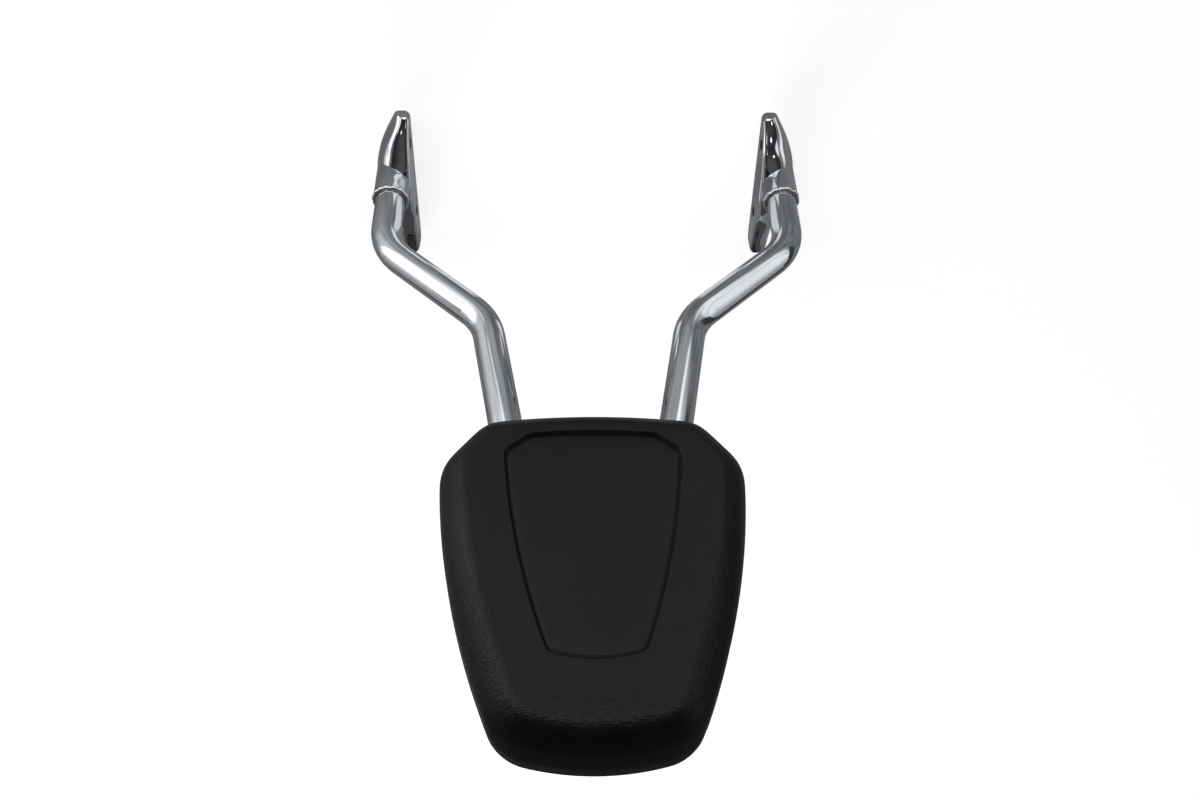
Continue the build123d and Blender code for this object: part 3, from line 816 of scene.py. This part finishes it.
def column_middles():
    """Middles of the threaded inserts, each a loose part of its node."""
    bm = node_copy("threaded_inserts")
    left, middles = set(bm.verts), []
    while left:
        island, edge_of_it = set(), [left.pop()]
        while edge_of_it:
            vert = edge_of_it.pop()
            island.add(vert)
            fresh = {edge.other_vert(vert) for edge in vert.link_edges} & left
            left -= fresh
            edge_of_it += fresh
        middles.append(sum((vert.co for vert in island), Vector()) / len(island))
    bm.free()
    return middles


def add_rod(bm, start, end, radius):
    """A round bar between two points."""
    turn = (end - start).to_track_quat("Z", "Y").to_matrix().to_4x4()
    bmesh.ops.create_cone(
        bm, cap_ends=True, segments=ROOM_SIDES, radius1=radius, radius2=radius, depth=(end - start).length,
        matrix=Matrix.Translation((start + end) / 2) @ turn,
    )


def cut_rooms(piece):
    """Takes the rooms out of the pad by a Boolean modifier, which is applied."""
    bm = bmesh.new()
    entry = rim[STATIONS // 2].y
    for side in (1, -1):
        middle = leg_middle(entry, side)
        along = (leg_middle(entry + LEG_ROOM_LONG / 2, side) - middle).normalized()
        add_rod(bm, middle - along * LEG_ROOM_LONG / 2, middle + along * LEG_ROOM_LONG / 2, LEG_ROOM_R)
    for middle in column_middles():
        end = Vector((middle.x, middle.y, COLUMN_ROOM_END))
        add_rod(bm, Vector((middle.x, middle.y, POCKET_ROOF - LIP_R)), end, COLUMN_ROOM_R)
    bmesh.ops.transform(bm, matrix=pad_plane, verts=bm.verts)
    cutter = new_piece("rooms", bm, skin)
    cut = piece.modifiers.new("rooms", "BOOLEAN")
    cut.operation = "DIFFERENCE"
    cut.object = cutter
    finished = bpy.data.meshes.new_from_object(piece.evaluated_get(bpy.context.evaluated_depsgraph_get()))
    piece.modifiers.clear()
    piece.data = finished
    finished.set_sharp_from_angle(angle=CREASE_ANGLE)
    bpy.data.objects.remove(cutter)


cut_rooms(pad)
print("Pad with its rooms:", len(pad.data.vertices), "vertices, columns:", len(column_middles()))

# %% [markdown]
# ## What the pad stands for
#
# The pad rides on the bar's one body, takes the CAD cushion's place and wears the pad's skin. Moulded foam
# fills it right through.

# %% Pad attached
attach(pad, "root")
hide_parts("pad_cushion")
print(pad.name, "stands for pad_cushion")

# %% [markdown]
# ## Weld beads
#
# Each foot's boss is welded to its tube. A weld bead is a ring of overlapping puddles, so a plain torus
# looks wrong. The bead is a small circle spun round the tube, and its vertices are then pushed in and out
# by a sawtooth that repeats once for each puddle, with a little noise.

# %% Weld beads
TUBE_R = 11.1 * MM
STUB_X = 148.5 * MM
BEAD_R = 2.0 * MM
BEAD_SINK = 1.3 * MM
BEAD_SIDES = 14
BEAD_STEPS = 180
PUDDLES = 14
PUDDLE_SLANT = 0.18
PUDDLE_CURVE = 0.6
PUDDLE_MEAN = 0.6
RIPPLE = 0.75 * MM
LUMP = 0.6 * MM
LUMPS_PER_METRE = 260


def model_bead(side):
    """Bead round one stub, with a ripple for each puddle."""
    bm = bmesh.new()
    out = BEAD_R - BEAD_SINK
    section = bmesh.ops.create_circle(bm, cap_ends=False, segments=BEAD_SIDES, radius=BEAD_R)["verts"]
    bmesh.ops.translate(bm, verts=section, vec=(TUBE_R + out, 0, 0))
    bmesh.ops.rotate(bm, verts=section, matrix=Matrix.Rotation(math.pi / 2, 3, "X"))
    bmesh.ops.spin(
        bm, geom=bm.verts[:] + bm.edges[:], cent=(0, 0, 0), axis=(0, 0, 1), dvec=(0, 0, 0),
        angle=2 * math.pi, steps=BEAD_STEPS, use_merge=True, use_duplicate=False,
    )
    bmesh.ops.remove_doubles(bm, verts=bm.verts, dist=MERGE)
    for vert in bm.verts:
        turn = math.atan2(vert.co.y, vert.co.x)
        ring = Vector((math.cos(turn), math.sin(turn), 0)) * (TUBE_R + out)
        away = (vert.co - ring).normalized()
        phase = (turn / (2 * math.pi) * PUDDLES + PUDDLE_SLANT * away.z) % 1.0
        lump = noise.noise(vert.co * LUMPS_PER_METRE + Vector((side * 7.0, 0, 0)))
        vert.co += away * (RIPPLE * (phase ** PUDDLE_CURVE - PUDDLE_MEAN) + LUMP * lump)
    to_stub = Matrix.Translation((side * STUB_X, BOSS_H + out, 0)) @ Matrix.Rotation(-math.pi / 2, 4, "X")
    bmesh.ops.transform(bm, matrix=pad_plane @ to_stub, verts=bm.verts)
    bmesh.ops.recalc_face_normals(bm, faces=bm.faces)
    return bm


for side, name in ((1, "left"), (-1, "right")):
    bead = new_piece(f"{name}_weld_bead", model_bead(side), brightened_weld_chrome)
    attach(bead, "root")
    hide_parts(f"{name}_bracket_weld")
    print("Bead", bead.name, len(bead.data.vertices), "vertices")

# %% [markdown]
# ## Floor
#
# The part stands on a plain pale floor. Chrome is a mirror, so half of its look is the floor that it shows,
# and a white floor all round would leave it flat and milky. A photographer lays grey and white cards just
# out of the picture instead. Here no cards are modelled: the floor itself glows for reflected rays, though
# it is no lamp, so what the chrome shows is painted reflection. It is dark under the bar, brighter in front,
# brightest in front on the left, with a few small painted bright patches for the feet and the tube's stubs,
# and painted black to one side and far behind. To the camera it stays white, with a faint shadow where the
# feet stand.
#
# The painted patches are in two tables. A patch with open sides has one soft edge across and one along, and
# a closed patch is a box with a soft border. Both give places in metres, and end in the brightness that they
# add.

# %% Floor
FLOOR_SIZE = 6.0
FLOOR_WHITE = ((0.85, 0.85, 0.85), (0.88, 0.88, 0.88))
FLOOR_GLOW = 0.75
# Painted reflections: the floor's glow for reflected rays, a dark uneven middle with painted bright and
# black patches on it.
REFLECTION_GLOW_TINT = (0.94, 0.97, 1.0, 1.0)
PAINTED_REFLECTION_DARK = 0.22
PAINTED_REFLECTION_SPREAD = 0.05
PAINTED_REFLECTION_LEAST = 0.03
PATCHES_PER_METRE = 12.0
PATCH_RANGE = (0.35, 0.65)
FRONT_SKEW = -0.6
FRONT_EDGE = (-0.16, -0.30)
FRONT_PAINTED_GLOW = 0.22
ALL_ACROSS = (-9.0, -8.0)
OPEN_PAINTED_PATCHES = (
    (ALL_ACROSS, (-0.42, -0.56), 0.5),
    (ALL_ACROSS, (-1.0, -1.6), -0.3),
    ((0.24, 0.34), (0.0, -0.22), 0.4),
    ((0.5, 0.75), (0.25, -0.35), 0.9),
    ((-0.16, -0.22), (-0.28, -0.40), 0.32),
)
PAIRED_PAINTED_PATCHES = (
    ((0.20, 0.23), (-1.0, -0.36), 0.04, 0.6),
    ((0.055, 0.085), (-0.06, 0.02), 0.015, 0.7),
    ((0.10, 0.115), (-0.09, -0.06), 0.008, 0.8),
)
BACK_PAINTED_PATCH = ((-0.2, 0.2), (0.5, 0.8), 0.18, 0.4)
BLACK_PAINTED_PATCH = ((-0.48, -0.62), (-0.5, -0.26), -0.17)
BLACK_BEHIND = (0.9, 1.2)


def ease(tree, value, start, end, low=0.0, high=1.0):
    """Runs smoothly from low at the start to high at the end."""
    spread = add_node(tree, "ShaderNodeMapRange", {"interpolation_type": "SMOOTHSTEP"})
    for name, number in (("From Min", start), ("From Max", end), ("To Min", low), ("To Max", high)):
        spread.inputs[name].default_value = number
    link(tree, value, spread.inputs["Value"])
    return spread.outputs["Result"]


def open_mask(tree, x, y, across, along):
    """One past a soft edge across and a soft edge along."""
    return calc(tree, "MULTIPLY", ease(tree, x, *across), ease(tree, y, *along))


def box_mask(tree, x, y, across, along, border):
    """One inside a box, with a soft border."""
    sides = []
    for value, (low, high) in ((x, across), (y, along)):
        rise = ease(tree, value, low - border, low)
        fall = ease(tree, value, high + border, high)
        sides.append(calc(tree, "MULTIPLY", rise, fall))
    return calc(tree, "MULTIPLY", *sides)


def painted_reflection_brightness(tree, place):
    """Painted reflection: the floor's glow for reflected rays, an uneven dark middle and the painted patches
    on it.
    """
    split = tree.nodes.new("ShaderNodeSeparateXYZ")
    link(tree, place, split.inputs["Vector"])
    x, y = split.outputs["X"], split.outputs["Y"]
    either_side = calc(tree, "ABSOLUTE", x)
    skewed = calc(tree, "MULTIPLY_ADD", x, FRONT_SKEW, y)
    patches = add_node(tree, "ShaderNodeTexNoise", Scale=PATCHES_PER_METRE, Detail=1.0)
    link(tree, place, patches.inputs["Vector"])
    # Painted reflection: an uneven dark middle, then bright and black painted patches added on it.
    patch = ease(tree, patches.outputs["Fac"], *PATCH_RANGE, PAINTED_REFLECTION_DARK - PAINTED_REFLECTION_SPREAD, PAINTED_REFLECTION_DARK + PAINTED_REFLECTION_SPREAD)
    black = open_mask(tree, x, y, *BLACK_PAINTED_PATCH[:2])
    black = calc(tree, "MAXIMUM", black, ease(tree, y, *BLACK_BEHIND))
    painted_glow = [(ease(tree, skewed, *FRONT_EDGE), FRONT_PAINTED_GLOW), (black, BLACK_PAINTED_PATCH[-1])]
    painted_glow += [(open_mask(tree, x, y, *painted_patch[:-1]), painted_patch[-1]) for painted_patch in OPEN_PAINTED_PATCHES]
    painted_glow += [(box_mask(tree, either_side, y, *painted_patch[:-1]), painted_patch[-1]) for painted_patch in PAIRED_PAINTED_PATCHES]
    painted_glow.append((box_mask(tree, x, y, *BACK_PAINTED_PATCH[:-1]), BACK_PAINTED_PATCH[-1]))
    total = patch
    for mask, brightness in painted_glow:
        total = calc(tree, "MULTIPLY_ADD", mask, brightness, total)
    return calc(tree, "MAXIMUM", total, PAINTED_REFLECTION_LEAST)


def pale_floor_painted_reflections():
    """White to the camera and to diffuse light; to reflected rays it glows with painted reflections."""
    material, tree, shader, place = new_material("pale_floor_painted_reflections")
    path = tree.nodes.new("ShaderNodeLightPath")
    speck = add_node(tree, "ShaderNodeTexNoise", Scale=3.0, Detail=2.0)
    link(tree, place, speck.inputs["Vector"])
    white = colour_between(tree, speck.outputs["Fac"], *FLOOR_WHITE)
    link(tree, white, shader.inputs["Base Color"])
    shader.inputs["Roughness"].default_value = 0.9
    shader.inputs["Specular IOR Level"].default_value = 0.0
    shader.inputs["Emission Color"].default_value = (1.0, 1.0, 1.0, 1.0)
    glow = calc(tree, "MULTIPLY", path.outputs["Is Camera Ray"], FLOOR_GLOW)
    link(tree, glow, shader.inputs["Emission Strength"])
    # Painted reflection: reflected rays see the floor glow here, though it is no lamp.
    painted_glow = add_node(tree, "ShaderNodeEmission", Color=REFLECTION_GLOW_TINT)
    link(tree, painted_reflection_brightness(tree, place), painted_glow.inputs["Strength"])
    either = tree.nodes.new("ShaderNodeMixShader")
    link(tree, path.outputs["Is Glossy Ray"], either.inputs["Fac"])
    link(tree, shader.outputs["BSDF"], either.inputs[1])
    link(tree, painted_glow.outputs["Emission"], either.inputs[2])
    link(tree, either.outputs["Shader"], tree.nodes["Material Output"].inputs["Surface"])
    return material


floor_bm = bmesh.new()
bmesh.ops.create_grid(floor_bm, x_segments=1, y_segments=1, size=FLOOR_SIZE)
floor = new_piece("floor", floor_bm, pale_floor_painted_reflections())
print("Floor", FLOOR_SIZE * 2, "metres across")

# %% [markdown]
# ## Background
#
# The light is a broad bright band in front, from the floor up to about a third of the way to the zenith,
# under a dark ceiling. It leaves the pad's front dark grey and its upper end nearly black, and it draws the
# tube with a bright stripe and a sharp dark one. The world's own direction makes that band, lower behind
# than ahead: one table gives its brightness from front to back, and one gives the ceiling's from its edge
# to the zenith. The camera itself sees a plain pale backdrop, of the floor's own tone, so that no horizon
# shows.

# %% Background
BAND_TOP = 0.51
BAND_EDGE = 0.03
BAND_DROP = 0.1
SIDE_SHADE = 0.8
SIDE_FROM = (0.66, 0.76)
SIDE_ABOVE = (0.22, 0.30)
BACKDROP = 0.925
AROUND = (
    (-1.0, 1.7), (-0.92, 1.6), (-0.8, 1.2), (-0.3, 1.2), (0.0, 0.8),
    (0.18, 0.45), (0.4, 0.42), (0.6, 0.10), (1.0, 0.07),
)
CEILING = ((0.5, 0.0), (0.53, 0.04), (0.7, 0.03), (0.8, 0.06), (0.9, 0.1))


def by_table(tree, value, table):
    """Brightness read from a table of (value from -1 to 1, brightness)."""
    steps = tree.nodes.new("ShaderNodeValToRGB")
    link(tree, calc(tree, "MULTIPLY_ADD", value, 0.5, 0.5), steps.inputs["Fac"])
    stops = steps.color_ramp.elements
    stops.remove(stops[1])
    for index, (place, brightness) in enumerate(table):
        stop = stops[0] if index == 0 else stops.new(place / 2 + 0.5)
        stop.position = place / 2 + 0.5
        stop.color = (brightness, brightness, brightness, 1.0)
    return steps.outputs["Color"]


def studio_world():
    """A bright band ahead that is lower behind, a dark ceiling, and a plain pale backdrop for the camera."""
    world = bpy.data.worlds.new("studio")
    world.use_nodes = True
    tree = world.node_tree
    split = tree.nodes.new("ShaderNodeSeparateXYZ")
    link(tree, tree.nodes.new("ShaderNodeTexCoord").outputs["Generated"], split.inputs["Vector"])
    behind = calc(tree, "MAXIMUM", split.outputs["Y"], 0.0)
    height = calc(tree, "MULTIPLY_ADD", behind, BAND_DROP, split.outputs["Z"])
    aside = ease(tree, calc(tree, "ABSOLUTE", split.outputs["X"]), *SIDE_FROM)
    shade = calc(tree, "MULTIPLY", aside, ease(tree, split.outputs["Z"], *SIDE_ABOVE))
    around = by_table(tree, split.outputs["Y"], AROUND)
    around = calc(tree, "MULTIPLY", around, calc(tree, "MULTIPLY_ADD", shade, -SIDE_SHADE, 1.0))
    ceiling = by_table(tree, split.outputs["Z"], CEILING)
    band = calc(tree, "MULTIPLY_ADD", ease(tree, height, BAND_TOP + BAND_EDGE, BAND_TOP), around, ceiling)
    path = tree.nodes.new("ShaderNodeLightPath")
    seen = add_node(tree, "ShaderNodeMix", {"data_type": "FLOAT"}, B=BACKDROP)
    link(tree, path.outputs["Is Camera Ray"], seen.inputs["Factor"])
    link(tree, band, seen.inputs["A"])
    link(tree, seen.outputs["Result"], tree.nodes["Background"].inputs["Strength"])
    tree.nodes["Background"].inputs["Color"].default_value = (0.98, 0.99, 1.0, 1.0)
    return world


bpy.context.scene.world = studio_world()
bpy.context.scene.view_settings.view_transform = "Standard"
print("World:", bpy.context.scene.world.name)


# %% [markdown]
# ## Lamps
#
# Four lamps finish the light. A softbox from the front on the left models the pad. A larger one fills the
# back; it is hidden from reflections, so that the chrome keeps its dark stripes. Two small squares, high in
# front, put a spark on each foot, as a window would.

# %% Lamps
PAD_MIDDLE = pad_plane @ Vector((0, 0.387, 0.02))
FEET_MIDDLE = (0, 0, 0)
SPOT_SIZE = (0.1, 0.1)
SPOT_POWER = 0.13


def softbox(name, place, target, size, power):
    """A rectangular area light that faces a point."""
    data = bpy.data.lights.new(name, "AREA")
    data.shape = "RECTANGLE"
    data.size, data.size_y = size
    data.energy = power
    lamp = bpy.data.objects.new(name, data)
    bpy.context.scene.collection.objects.link(lamp)
    lamp.location = place
    lamp.rotation_euler = (Vector(target) - Vector(place)).to_track_quat("-Z", "Y").to_euler()
    lamp.visible_camera = False
    return lamp


softbox("key_softbox", (1.35, -0.75, 0.35), PAD_MIDDLE, size=(1.0, 0.5), power=2.0)
rear_fill = softbox("rear_fill", (0.6, 1.55, 0.35), PAD_MIDDLE, size=(1.2, 0.6), power=14.0)
rear_fill.visible_glossy = False
softbox("left_spot", (0.52, -0.94, 1.19), FEET_MIDDLE, SPOT_SIZE, SPOT_POWER)
softbox("right_spot", (-0.69, -0.92, 1.11), FEET_MIDDLE, SPOT_SIZE, SPOT_POWER)
